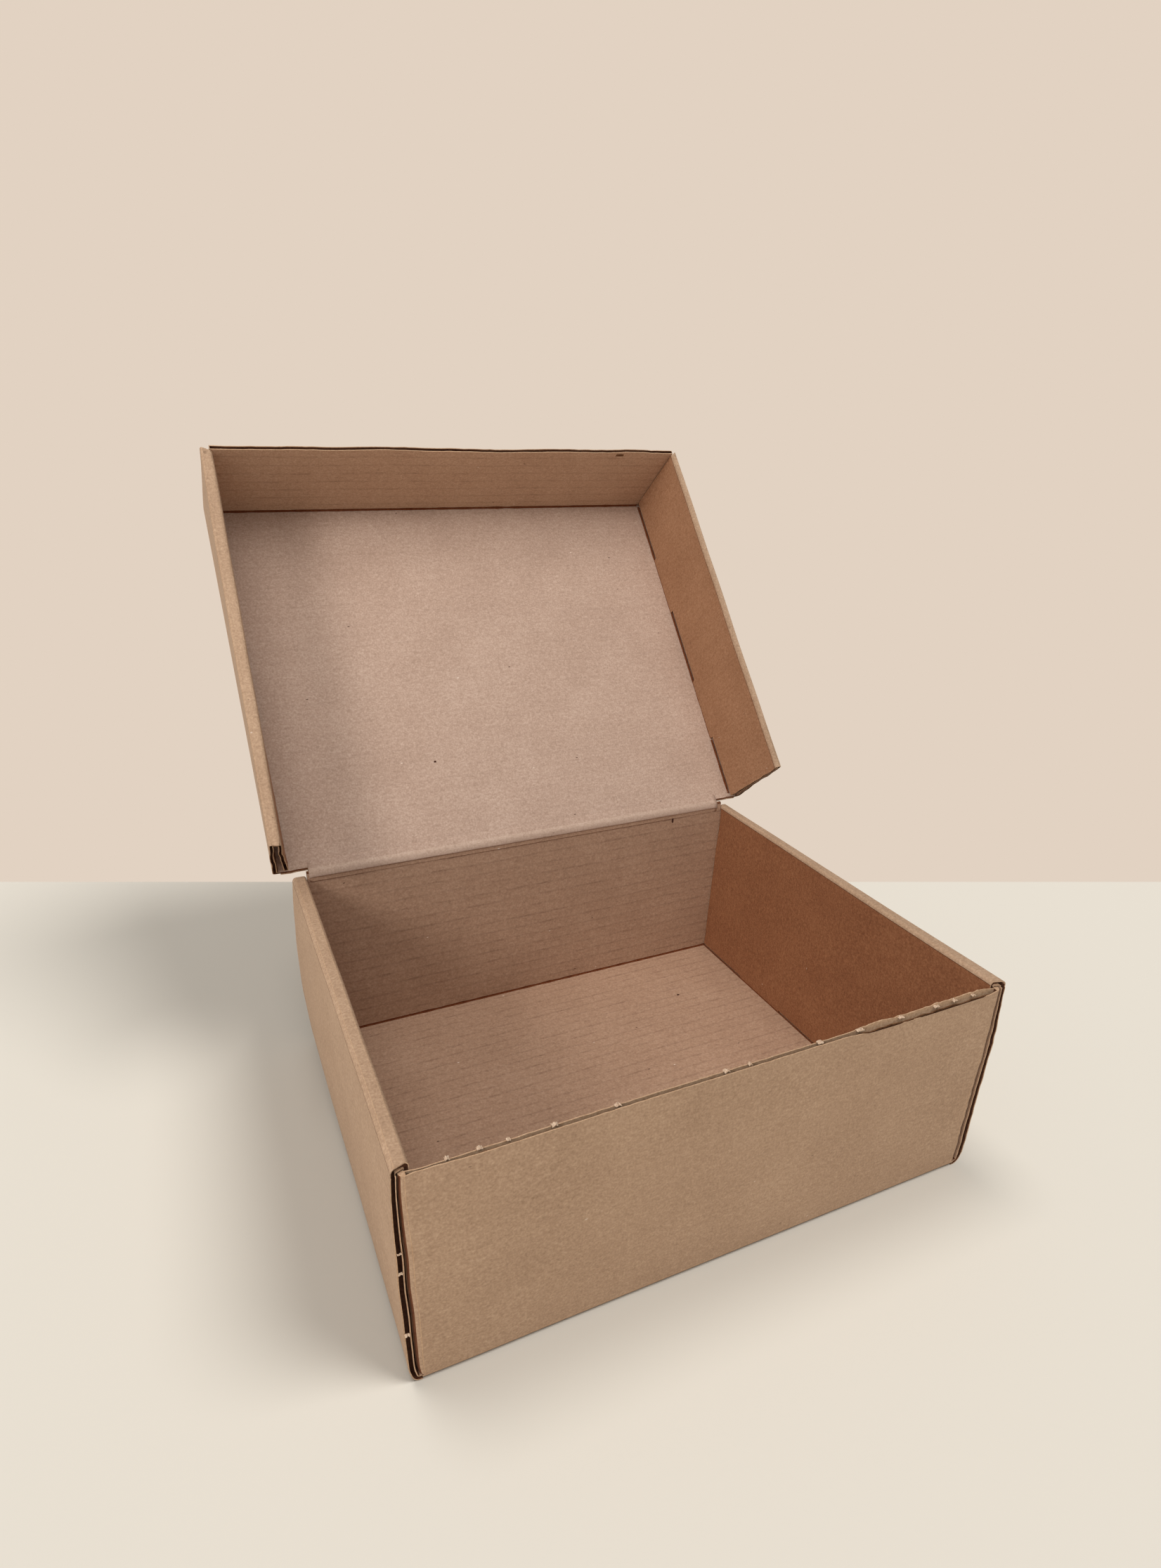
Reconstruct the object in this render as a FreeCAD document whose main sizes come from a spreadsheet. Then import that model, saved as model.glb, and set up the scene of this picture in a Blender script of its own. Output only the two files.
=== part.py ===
import FreeCAD, Part
import os
import Sketcher

# Open corrugated cardboard box with a hinged, telescoping lid.
# X runs across the box, Y from front to back and Z up.
# The origin is the centre of the tray's underside.
# The lid is drawn flat on its outer face and then leant back about the crease.

doc = FreeCAD.newDocument("cardboard_box")

# Driving dimensions, in millimetres and degrees
SIZES = [
    ("board", 2.3, "thickness of the corrugated board"),
    ("liner", 0.4, "facing paper left on each side of an open flute"),
    ("flute_depth", 2.5, "how deep an open flute shows in a cut edge"),
    ("fold_outer", 2.8, "outer radius of a single fold"),
    ("fold_inner", 0.5, "inner radius of a single fold"),
    ("turn_outer", 2.4, "outer radius of a fold between a single wall and its corner flap"),
    ("turn_inner", 0.45, "inner radius of that fold"),
    ("ridge_outer", 1.8, "outer radius of the two folds of a rolled-over wall"),
    ("ridge_inner", 0.4, "inner radius of those two folds"),
    ("flap_gap", 0.7, "air between an outer side panel and the corner flap inside it"),
    ("inner_gap", 0.1, "air between a corner flap and the inner side panel"),
    ("wall_setback", 0.6, "how far the side panels stop short of the front and back faces"),
    ("inner_setback", 0.4, "air between an inner side panel's end and the wall it meets"),
    ("tab_lift", 1.2, "height of an inner panel's lower edge over the sheet under it"),
    ("tab_length", 39.0, "length of a locking tab"),
    ("tab_play", 0.2, "play of a locking tab in its slot"),
    ("tab_recess", 0.3, "how far a tab's end stays above the outer face of its slot"),
    ("run_setback", 0.9, "folded-up edge of the sheet to the corner fold's outer face"),
    ("slant_inset", 1.6, "start of a ridge's cut front end, past the inner side panel's face"),
    ("flap_taper", 5.0, "taper of a corner flap's long edges"),
    ("tray_width", 261.0, "tray, outside, across its side walls"),
    ("tray_depth", 209.0, "tray, outside, front to back"),
    ("ridge_height", 102.0, "top of the tray's rolled-over side walls"),
    ("front_height", 99.0, "top of the tray's single front wall"),
    ("tray_flap_length", 62.0, "length of the tray's corner flaps"),
    ("tray_tab_offset", 41.0, "tab centre to the middle of a tray side wall"),
    ("lid_rest_gap", 0.4, "air between the closed lid and the tray's ridges"),
    ("crease_round", 1.1, "outer radius of the crease roll and of the lid's rear edge"),
    ("crease_gap", 0.5, "air between the crease roll and the lid's rear edge"),
    ("crease_end_gap", 0.2, "air between the crease roll's ends and the side walls"),
    ("lid_play", 1.5, "air between the tray's side and the closed lid's side wall"),
    ("lid_front_play", 4.8, "air between the tray's front and the closed lid's flap"),
    ("lid_wall", 51.5, "height of the lid's side walls over its outer face"),
    ("lid_wall_start", 2.5, "hinge axis to the rear end of the lid's side walls"),
    ("lid_flap_length", 56.0, "length of the lid's corner flaps"),
    ("lid_tab_middle", 106.0, "hinge axis to the middle between the lid's tabs"),
    ("lid_tab_offset", 44.5, "tab centre to that middle"),
    ("lid_lean", 40.5, "lean of the open lid behind the vertical"),
]

sheet = doc.addObject("Spreadsheet::Sheet", "sizes")
for row, (alias, number, meaning) in enumerate(SIZES, start=1):
    sheet.set(f"A{row}", alias)
    sheet.set(f"B{row}", str(number))
    sheet.setAlias(f"B{row}", alias)
    sheet.set(f"C{row}", meaning)
doc.recompute()

# Lengths that both parts of the sheet share
BOARD = "sizes.board"
LINER = "sizes.liner"
# a rolled-over wall holds an outer panel, a corner flap and an inner panel
WALL = "(3 * sizes.board + sizes.flap_gap + sizes.inner_gap)"
# the sheet is folded up this far where it meets a single wall
LIP = "(sizes.fold_outer + sizes.liner)"

# The tray
TRAY_HALF = "(sizes.tray_width / 2)"
TRAY_FACE = "(sizes.tray_depth / 2)"
TURN_INSET = "(sizes.board + sizes.flap_gap)"
TRAY_TURN = f"({TRAY_HALF} - {TURN_INSET})"
BACK_TOP = "(sizes.ridge_height - sizes.board - sizes.inner_setback)"
HINGE_Y = "(sizes.tray_depth / 2 - sizes.board / 2)"
HINGE_Z = "(sizes.ridge_height + sizes.lid_rest_gap + sizes.board / 2)"
CREASE_HALF = f"({TRAY_HALF} - {WALL} - sizes.crease_end_gap)"

# The lid, whose own Y runs from the hinge axis to its front flap
LID_HALF = f"({TRAY_HALF} + sizes.lid_play + {WALL})"
LID_FACE = f"({HINGE_Y} + {TRAY_FACE} + sizes.lid_front_play + sizes.board)"
LID_TURN = f"({LID_HALF} - {TURN_INSET})"
LID_REAR = "(sizes.board / 2 + sizes.crease_gap)"
LID_TURN_TOP = "(sizes.lid_wall - sizes.board - sizes.inner_setback)"
LID_EDGE_HALF = f"({LID_HALF} - {WALL} + sizes.slant_inset)"


def value(expression):
    """The number that an expression of the sheet's sizes gives now."""
    return float(sheet.evalExpression(expression))


def origin_plane(body, role):
    return [feature for feature in body.Origin.OriginFeatures if feature.Role == role][0]


def new_sketch(body, name, role, offset="0"):
    """A sketch on one of the body's own planes, moved along its normal."""
    sketch = body.newObject("Sketcher::SketchObject", name)
    sketch.AttachmentSupport = [(origin_plane(body, role), "")]
    sketch.MapMode = "FlatFace"
    sketch.setExpression("AttachmentOffset.Base.z", offset)
    return sketch


def step_towards(corner, neighbour, across, up, radius):
    """Where a fold's arc meets the straight edge that runs to the next corner."""
    if abs(neighbour.x - corner.x) > abs(neighbour.y - corner.y):
        sign = "+" if neighbour.x > corner.x else "-"
        return f"{across} {sign} {radius}", up
    sign = "+" if neighbour.y > corner.y else "-"
    return across, f"{up} {sign} {radius}"


def pin_point(sketch, geometry, end, across, up, label):
    """Hold one end of an edge at a place given by two expressions."""
    for kind, expression, letter in (("DistanceX", across, "x"), ("DistanceY", up, "y")):
        constraint = Sketcher.Constraint(kind, -1, 1, geometry, end, value(expression))
        name = f"{label}_{letter}"
        sketch.renameConstraint(sketch.addConstraint(constraint), name)
        sketch.setExpression(f"Constraints.{name}", expression)


def draw_outline(sketch, corners, label="outline"):
    """One closed outline. A corner is (across, up) or (across, up, radius of its arc)."""
    count = len(corners)
    places = [FreeCAD.Vector(value(corner[0]), value(corner[1]), 0) for corner in corners]
    arrive, leave = [], []
    for index, corner in enumerate(corners):
        across, up = corner[:2]
        if len(corner) == 2:
            arrive.append((across, up))
            leave.append((across, up))
            continue
        before, after = places[index - 1], places[(index + 1) % count]
        arrive.append(step_towards(places[index], before, across, up, corner[2]))
        leave.append(step_towards(places[index], after, across, up, corner[2]))

    def spot(pair):
        return FreeCAD.Vector(value(pair[0]), value(pair[1]), 0)

    first = sketch.GeometryCount
    for index in range(count):
        start, end = spot(leave[index]), spot(arrive[(index + 1) % count])
        sketch.addGeometry(Part.LineSegment(start, end), False)
    for index, corner in enumerate(corners):
        edge_in, edge_out = first + (index - 1) % count, first + index
        pin_point(sketch, edge_out, 1, *leave[index], f"{label}_{index}_out")
        if len(corner) == 2:
            sketch.addConstraint(Sketcher.Constraint("Coincident", edge_in, 2, edge_out, 1))
            continue
        pin_point(sketch, edge_in, 2, *arrive[index], f"{label}_{index}_in")
        start, end = spot(arrive[index]), spot(leave[index])
        centre = start + end - places[index]
        outward = (places[index] - centre).normalize()
        middle = centre + outward * value(corner[2])
        arc = sketch.addGeometry(Part.Arc(start, middle, end), False)
        near = 1 if sketch.getPoint(arc, 1).distanceToPoint(start) < 1e-6 else 2
        sketch.addConstraint(Sketcher.Constraint("Coincident", arc, near, edge_in, 2))
        sketch.addConstraint(Sketcher.Constraint("Coincident", arc, 3 - near, edge_out, 1))
        bend = Sketcher.Constraint("Radius", arc, value(corner[2]))
        name = f"{label}_{index}_bend"
        sketch.renameConstraint(sketch.addConstraint(bend), name)
        sketch.setExpression(f"Constraints.{name}", corner[2])


def rectangle(low_across, low_up, high_across, high_up):
    return [(low_across, low_up), (high_across, low_up), (high_across, high_up), (low_across, high_up)]


def make_feature(body, kind, name, sketch, length, symmetric=False, backward=False):
    """A pad or a pocket of one sketch."""
    feature = body.newObject(f"PartDesign::{kind}", name)
    feature.Profile = sketch
    feature.setExpression("Length", length)
    feature.SideType = "Symmetric" if symmetric else "One side"
    feature.Reversed = backward
    sketch.Visibility = False
    return feature


def mirror_across(body, name, features):
    mirrored = body.newObject("PartDesign::Mirrored", name)
    mirrored.Originals = features
    mirrored.MirrorPlane = (origin_plane(body, "YZ_Plane"), [""])
    body.Tip = mirrored
    return mirrored


def wall_outline(run_half, half, top, inset="0"):
    """The section of a rolled-over side wall and of the strip of sheet that it folds up from.

    With an inset it is the space between the two facings of the same sheet.
    """
    foot = f"({BOARD} + sizes.tab_lift + {inset})"
    inner_face = f"({half} - {WALL} + {inset})"
    inner_back = f"({half} - {WALL} + {BOARD} - {inset})"
    outer_face = f"({half} - {inset})"
    outer_back = f"({half} - {BOARD} + {inset})"
    upper = f"({top} - {inset})"
    lower = f"({top} - {BOARD} + {inset})"
    return [
        (run_half, f"({inset})"),
        (outer_face, f"({inset})", f"(sizes.fold_outer - {inset})"),
        (outer_face, upper, f"(sizes.ridge_outer - {inset})"),
        (inner_face, upper, f"(sizes.ridge_outer - {inset})"),
        (inner_face, foot),
        (inner_back, foot),
        (inner_back, lower, f"(sizes.ridge_inner + {inset})"),
        (outer_back, lower, f"(sizes.ridge_inner + {inset})"),
        (outer_back, f"({BOARD} - {inset})", f"(sizes.fold_inner + {inset})"),
        (run_half, f"({BOARD} - {inset})"),
    ]


def roll_over_wall(body, run_half, half, top, rear, front, slant_depth, facing, tab_places, square_rear):
    """The right-hand side wall with its tabs, slots and open edges.

    rear and front are the faces that the wall runs between; facing is the sign, along Y,
    of the way from rear to front.
    """
    back_to_front = f"({facing})"
    wall_rear = f"({rear})"
    wall_front = f"({front} - {back_to_front} * sizes.wall_setback)"
    inner_front = f"({front} - {back_to_front} * (sizes.board + sizes.inner_setback))"
    inner_rear = f"({rear} + {back_to_front} * (sizes.board + sizes.inner_setback - sizes.wall_setback))"
    length = f"(abs({wall_front} - {wall_rear}))"
    middle = f"(({wall_front} + {wall_rear}) / 2)"

    section = new_sketch(body, "wall_section", "XZ_Plane", f"-{middle}")
    draw_outline(section, wall_outline(run_half, half, top))
    features = [make_feature(body, "Pad", "side_wall", section, length, symmetric=True)]

    # the inner panel and the ridge's end stop short of the front wall
    inner_low = f"({half} - {WALL} - {BOARD})"
    inner_high = f"({half} - {WALL} + {BOARD} + sizes.inner_gap / 2)"
    stops = [("front", wall_front, inner_front)]
    if not square_rear:
        stops.append(("rear", wall_rear, inner_rear))
    for name, outer_end, inner_end in stops:
        stop = new_sketch(body, f"{name}_stop_outline", "XY_Plane", BOARD)
        draw_outline(stop, rectangle(inner_low, outer_end, inner_high, inner_end))
        depth = f"({top} - 2 * {BOARD} - sizes.ridge_inner)"
        features.append(make_feature(body, "Pocket", f"{name}_stop", stop, depth, backward=True))
    slant = new_sketch(body, "ridge_slant_outline", "XY_Plane", top)
    past_front = f"({front} + {back_to_front} * {BOARD})"
    draw_outline(slant, [
        (inner_low, inner_front), (f"({half} - {WALL} + sizes.slant_inset)", inner_front),
        (f"({half} + sizes.wall_setback)", wall_front), (f"({half} + sizes.wall_setback)", past_front),
        (inner_low, past_front)])
    features.append(make_feature(body, "Pocket", "ridge_slant", slant, slant_depth))

    # open flutes in the wall's two cut ends
    for name, end, towards in (("rear", wall_rear, "1"), ("front", wall_front, "-1")):
        into = f"({towards} * {back_to_front})"
        centre = f"({end} + {into} * sizes.flute_depth / 2)"
        flute = new_sketch(body, f"{name}_flute_section", "XZ_Plane", f"-{centre}")
        draw_outline(flute, wall_outline(run_half, half, top, LINER))
        cut = make_feature(body, "Pocket", f"{name}_flute", flute, "sizes.flute_depth", symmetric=True)
        features.append(cut)

    # slots through the sheet under the wall, and the tabs that sit in them
    slots = new_sketch(body, "slot_outlines", "XY_Plane")
    tabs = new_sketch(body, "tab_outlines", "XY_Plane", "sizes.tab_recess")
    for name, place in zip(("near", "far"), tab_places):
        low, high = f"({place} - sizes.tab_length / 2)", f"({place} + sizes.tab_length / 2)"
        inner_face, inner_back = f"({half} - {WALL})", f"({half} - {WALL} + {BOARD})"
        draw_outline(tabs, rectangle(inner_face, low, inner_back, high), name)
        draw_outline(slots, rectangle(
            f"({inner_face} - sizes.tab_play)", f"({low} - sizes.tab_play)",
            f"({inner_back} + sizes.tab_play)", f"({high} + sizes.tab_play)"), name)
    features.append(make_feature(body, "Pocket", "tab_slots", slots, BOARD, backward=True))
    tab_height = f"({BOARD} + sizes.tab_lift + sizes.liner - sizes.tab_recess)"
    features.append(make_feature(body, "Pad", "tabs", tabs, tab_height))
    mirror_across(body, "left_wall", features)


def turned_wall(body, name, turn_half, face, inward, top):
    """A single wall that turns at both ends into the folds of its corner flaps."""
    inner = f"({face} + ({inward}) * {BOARD})"
    arm = f"({face} + ({inward}) * sizes.fold_outer)"
    bottom = "sizes.fold_outer"
    plan = new_sketch(body, f"{name}_plan", "XY_Plane", bottom)
    right, left = turn_half, f"(-{turn_half})"
    right_in, left_in = f"({turn_half} - {BOARD})", f"({BOARD} - {turn_half})"
    draw_outline(plan, [
        (left, face, "sizes.turn_outer"), (right, face, "sizes.turn_outer"),
        (right, arm), (right_in, arm), (right_in, inner, "sizes.turn_inner"),
        (left_in, inner, "sizes.turn_inner"), (left_in, arm), (left, arm)])
    return make_feature(body, "Pad", name, plan, f"({top} - {bottom})")


def corner_flap(body, name, turn_half, face, inward, length, top):
    """The flap inside the right-hand wall, which tapers towards its free end."""
    root = f"({face} + ({inward}) * sizes.fold_outer)"
    tip = f"({face} + ({inward}) * {length})"
    bottom = "sizes.fold_outer"
    side = new_sketch(body, f"{name}_side", "YZ_Plane", f"({turn_half} - {BOARD})")
    draw_outline(side, [
        (root, bottom), (tip, f"({bottom} + sizes.flap_taper)"),
        (tip, f"({top} - sizes.flap_taper)"), (root, top)])
    return make_feature(body, "Pad", name, side, BOARD)


def edge_flute(body, name, half, face, inward, top):
    """The open flute along a wall's free upper edge."""
    outline = new_sketch(body, f"{name}_outline", "XY_Plane", top)
    draw_outline(outline, rectangle(
        f"(-{half})", f"({face} + ({inward}) * {LINER})",
        half, f"({face} + ({inward}) * ({BOARD} - {LINER}))"))
    return make_feature(body, "Pocket", name, outline, "sizes.flute_depth")


# The tray: floor, front wall, back wall up to the crease, and rolled-over side walls
tray = doc.addObject("PartDesign::Body", "tray")
tray.Label = "tray"
RUN_HALF = f"({TRAY_TURN} - sizes.run_setback)"
floor_section = new_sketch(tray, "floor_section", "YZ_Plane")
draw_outline(floor_section, [
    (f"(-{TRAY_FACE})", "0", "sizes.fold_outer"),
    (TRAY_FACE, "0", "sizes.fold_outer"),
    (TRAY_FACE, LIP),
    (f"({TRAY_FACE} - {BOARD})", LIP),
    (f"({TRAY_FACE} - {BOARD})", BOARD, "sizes.fold_inner"),
    (f"({BOARD} - {TRAY_FACE})", BOARD, "sizes.fold_inner"),
    (f"({BOARD} - {TRAY_FACE})", LIP),
    (f"(-{TRAY_FACE})", LIP)])
make_feature(tray, "Pad", "floor", floor_section, f"(2 * {RUN_HALF})", symmetric=True)
roll_over_wall(
    tray, RUN_HALF, TRAY_HALF, "sizes.ridge_height",
    rear=f"({TRAY_FACE} - sizes.wall_setback)", front=f"(-{TRAY_FACE})",
    slant_depth="(sizes.ridge_height - sizes.front_height)", facing="-1",
    tab_places=("(-sizes.tray_tab_offset)", "sizes.tray_tab_offset"), square_rear=False)
turned_wall(tray, "front_wall", TRAY_TURN, f"(-{TRAY_FACE})", "1", "sizes.front_height")
turned_wall(tray, "back_wall", TRAY_TURN, TRAY_FACE, "-1", BACK_TOP)
flaps = [
    corner_flap(tray, "front_flap", TRAY_TURN, f"(-{TRAY_FACE})", "1",
                "sizes.tray_flap_length", "(sizes.front_height - sizes.liner)"),
    corner_flap(tray, "back_flap", TRAY_TURN, TRAY_FACE, "-1",
                "sizes.tray_flap_length", f"({BACK_TOP} - sizes.liner)")]
mirror_across(tray, "left_flaps", flaps)
edge_flute(tray, "front_edge_flute", f"({TRAY_TURN} - sizes.fold_outer)", f"(-{TRAY_FACE})", "1",
           "sizes.front_height")
# the crease roll on the back wall, that the lid turns about
crease_section = new_sketch(tray, "crease_section", "YZ_Plane")
CREASE_TOP = f"({HINGE_Z} + sizes.board / 2)"
draw_outline(crease_section, [
    (f"({TRAY_FACE} - {BOARD})", f"({BACK_TOP} - {BOARD})"), (TRAY_FACE, f"({BACK_TOP} - {BOARD})"),
    (TRAY_FACE, CREASE_TOP, "sizes.crease_round"),
    (f"({TRAY_FACE} - {BOARD})", CREASE_TOP, "sizes.crease_round")])
make_feature(tray, "Pad", "crease_roll", crease_section, f"(2 * {CREASE_HALF})", symmetric=True)

# The lid: panel, front flap and rolled-over side walls
lid = doc.addObject("PartDesign::Body", "lid")
lid.Label = "lid"
LID_RUN_HALF = f"({LID_TURN} - sizes.run_setback)"
panel_section = new_sketch(lid, "panel_section", "YZ_Plane")
draw_outline(panel_section, [
    (LID_REAR, "0", "sizes.crease_round"),
    (LID_FACE, "0", "sizes.fold_outer"),
    (LID_FACE, LIP),
    (f"({LID_FACE} - {BOARD})", LIP),
    (f"({LID_FACE} - {BOARD})", BOARD, "sizes.fold_inner"),
    (LID_REAR, BOARD, "sizes.crease_round")])
make_feature(lid, "Pad", "panel", panel_section, f"(2 * {LID_RUN_HALF})", symmetric=True)
roll_over_wall(
    lid, LID_RUN_HALF, LID_HALF, "sizes.lid_wall",
    rear="sizes.lid_wall_start", front=LID_FACE,
    slant_depth="(sizes.board + sizes.inner_setback)", facing="1",
    tab_places=("(sizes.lid_tab_middle - sizes.lid_tab_offset)",
                "(sizes.lid_tab_middle + sizes.lid_tab_offset)"),
    square_rear=True)
turned_wall(lid, "lid_flap", LID_TURN, LID_FACE, "-1", LID_TURN_TOP)
lid_flap_side = corner_flap(lid, "lid_corner_flap", LID_TURN, LID_FACE, "-1",
                            "sizes.lid_flap_length", f"({LID_TURN_TOP} - sizes.liner)")
mirror_across(lid, "left_lid_flap", [lid_flap_side])
flap_edge = new_sketch(lid, "flap_edge_outline", "XY_Plane", f"({LID_TURN_TOP} - {BOARD})")
draw_outline(flap_edge, rectangle(f"(-{LID_EDGE_HALF})", f"({LID_FACE} - {BOARD})", LID_EDGE_HALF, LID_FACE))
make_feature(lid, "Pad", "flap_edge", flap_edge, f"(sizes.lid_wall - {LID_TURN_TOP} + {BOARD})")
edge_flute(lid, "lid_edge_flute", f"({LID_EDGE_HALF} - sizes.liner)", LID_FACE, "-1", "sizes.lid_wall")

# The open lid leans back about the crease, whose axis runs along X
lid.Placement = FreeCAD.Placement(
    FreeCAD.Vector(0, 1, 1), FreeCAD.Rotation(FreeCAD.Vector(1, 0, 0), 90 - value("sizes.lid_lean")))
lid.setExpression("Placement.Rotation.Angle", "90 - sizes.lid_lean")
lid.setExpression("Placement.Base.y", f"{HINGE_Y} + sizes.board / 2 * cos(sizes.lid_lean)")
lid.setExpression("Placement.Base.z", f"{HINGE_Z} - sizes.board / 2 * sin(sizes.lid_lean)")
doc.recompute()

for feature in doc.Objects:
    if any(state in ("Invalid", "Error") for state in feature.State):
        raise RuntimeError(f"{feature.Name} could not be built: {feature.State}")

os.makedirs("parts", exist_ok=True)
for body in (tray, lid):
    shape = body.Shape
    if shape.isNull() or not shape.isValid() or len(shape.Solids) != 1:
        raise RuntimeError(f"{body.Label} is not one sound solid")
    shape.exportStep(f"parts/{body.Label}.step")
    box = shape.BoundBox
    print(f"{body.Label}: {shape.Volume:.0f} mm3, X {box.XMin:.2f} {box.XMax:.2f},"
          f" Y {box.YMin:.2f} {box.YMax:.2f}, Z {box.ZMin:.2f} {box.ZMax:.2f}")
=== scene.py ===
import math
import random

import bmesh
import bpy
import numpy as np
from mathutils import Matrix, Vector, noise


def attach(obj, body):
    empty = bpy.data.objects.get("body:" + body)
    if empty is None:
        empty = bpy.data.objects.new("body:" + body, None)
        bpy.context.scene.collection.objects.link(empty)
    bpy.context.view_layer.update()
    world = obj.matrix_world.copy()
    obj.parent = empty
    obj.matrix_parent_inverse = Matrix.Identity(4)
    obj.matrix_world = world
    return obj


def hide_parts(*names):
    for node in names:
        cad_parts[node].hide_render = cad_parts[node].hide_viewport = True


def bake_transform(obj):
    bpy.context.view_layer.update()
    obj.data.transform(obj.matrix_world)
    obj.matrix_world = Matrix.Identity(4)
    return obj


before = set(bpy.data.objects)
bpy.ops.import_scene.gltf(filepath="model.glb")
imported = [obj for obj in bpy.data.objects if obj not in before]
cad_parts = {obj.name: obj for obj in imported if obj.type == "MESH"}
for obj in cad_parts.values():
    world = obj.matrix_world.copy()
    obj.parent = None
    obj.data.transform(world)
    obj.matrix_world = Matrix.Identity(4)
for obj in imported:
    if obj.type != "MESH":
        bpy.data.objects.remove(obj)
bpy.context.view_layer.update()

# The camera stands where the photograph was taken from, above the front left corner.
# Its place and focal length come from the corners of the box, fitted in pixels of the
# whole picture, which is 1652 wide and 2232 high.
picture_width, picture_height = 1652, 2232
sensor_width = 36
focal_length, picture_middle = 1207.4, (797.5, 1197.2)
azimuth, elevation, roll = map(math.radians, (-24.211, 25.208, 0.864))
camera_place = (-0.16285, -0.29842, 0.30402)
backward = Vector((math.sin(azimuth) * math.cos(elevation),
                   -math.cos(azimuth) * math.cos(elevation), math.sin(elevation)))
level = Vector((0, 0, 1)).cross(backward).normalized()
upright = backward.cross(level)
across = level * math.cos(roll) + upright * math.sin(roll)
upward = upright * math.cos(roll) - level * math.sin(roll)

bpy.ops.object.camera_add()
camera = bpy.context.object
camera_axes = Matrix((across, upward, backward)).transposed().to_4x4()
camera.matrix_world = Matrix.Translation(camera_place) @ camera_axes
camera.data.sensor_width = sensor_width
camera.data.lens = focal_length / picture_height * sensor_width
camera.data.shift_x = (picture_width / 2 - picture_middle[0]) / picture_height
camera.data.shift_y = (picture_middle[1] - picture_height / 2) / picture_height
camera.data.clip_start = 0.01
bpy.context.scene.camera = camera
bpy.context.scene.view_settings.view_transform = "Standard"

# The background is a pale sheet that the box stands on, and a slightly darker plain wall.
# The wall's tone starts on the sheet, along a line behind the box, as in the photograph,
# so it is one flat colour for the camera there and the shadow stays on the near part.


def linear(hex_colour):
    """An sRGB hex colour as linear values with alpha."""
    parts = [int(hex_colour[i:i + 2], 16) / 255 for i in (1, 3, 5)]
    return [c / 12.92 if c <= 0.04045 else ((c + 0.055) / 1.055) ** 2.4 for c in parts] + [1]


def node(tree, kind, settings=None, **sockets):
    """A node with its settings. A socket, by name or as i and its number, takes a value or an output."""
    made = tree.nodes.new(kind)
    for name, value in (settings or {}).items():
        setattr(made, name, value)
    for name, value in sockets.items():
        numbered = name[0] == "i" and name[1:].isdigit()
        socket = made.inputs[int(name[1:]) if numbered else name.replace("_", " ")]
        if isinstance(value, bpy.types.NodeSocket):
            tree.links.new(value, socket)
        else:
            socket.default_value = value
    return made


def calc(tree, operation, *values):
    """The output of a math node. Each of its values is a number or another node's output."""
    sockets = {f"i{index}": value for index, value in enumerate(values)}
    return node(tree, "ShaderNodeMath", {"operation": operation}, **sockets).outputs[0]


def bare_material(name):
    """A material without nodes, and its node tree."""
    made = bpy.data.materials.new(name)
    made.use_nodes = True
    made.node_tree.nodes.clear()
    return made, made.node_tree


def ramp(tree, factor, stops, interpolation="LINEAR"):
    """A colour ramp of (place, colour) stops."""
    made = node(tree, "ShaderNodeValToRGB", Fac=factor)
    made.color_ramp.interpolation = interpolation
    elements = made.color_ramp.elements
    while len(elements) < len(stops):
        elements.new(0.5)
    for element, (place, colour) in zip(elements, stops):
        element.position = place
        element.color = colour
    return made.outputs["Color"]


floor_colour, wall_colour = "#C9C2B6", "#E2D2C2"
line_start, line_end = Vector((-0.3159, 0.3839, 0)), Vector((0.5057, 0.0457, 0))
line_normal = Vector((0, 0, 1)).cross(line_end - line_start).normalized()

backdrop_paint, tree = bare_material("pale_backdrop")
place = node(tree, "ShaderNodeTexCoord").outputs["Object"]
ahead = node(tree, "ShaderNodeVectorMath", {"operation": "DOT_PRODUCT"}, i0=place, i1=line_normal)
behind_line = calc(tree, "GREATER_THAN", ahead.outputs["Value"], line_start.dot(line_normal))
seen_by_camera = node(tree, "ShaderNodeLightPath").outputs["Is Camera Ray"]
flat_there = calc(tree, "MULTIPLY", behind_line, seen_by_camera)
shaded = node(tree, "ShaderNodeBsdfDiffuse", Color=linear(floor_colour))
flat = node(tree, "ShaderNodeEmission", Color=linear(wall_colour), Strength=1.0)
joined = node(tree, "ShaderNodeMixShader", i0=flat_there, i1=shaded.outputs[0], i2=flat.outputs[0])
node(tree, "ShaderNodeOutputMaterial", Surface=joined.outputs[0])

sheet_radius, sheet_drop = 6, 0.0002
bpy.ops.mesh.primitive_circle_add(vertices=96, radius=sheet_radius, fill_type="NGON",
                                  location=(0, 0, -sheet_drop))
floor = bpy.context.object
floor.name = "floor_sheet"
floor.data.materials.append(backdrop_paint)

# Soft studio light: an even pale surround, a wide window on the left and a large panel
# overhead, a little in front of the box. Together they light a colour about as it is written.
world = bpy.data.worlds.new("studio")
bpy.context.scene.world = world
world.use_nodes = True
tree = world.node_tree
tree.nodes.clear()
seen_by_camera = node(tree, "ShaderNodeLightPath").outputs["Is Camera Ray"]
around = node(tree, "ShaderNodeBackground", Color=(1, 1, 1, 1), Strength=0.4)
wall = node(tree, "ShaderNodeBackground", Color=linear(wall_colour), Strength=1.0)
chosen = node(tree, "ShaderNodeMixShader", i0=seen_by_camera, i1=around.outputs[0], i2=wall.outputs[0])
node(tree, "ShaderNodeOutputWorld", Surface=chosen.outputs[0])


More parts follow.
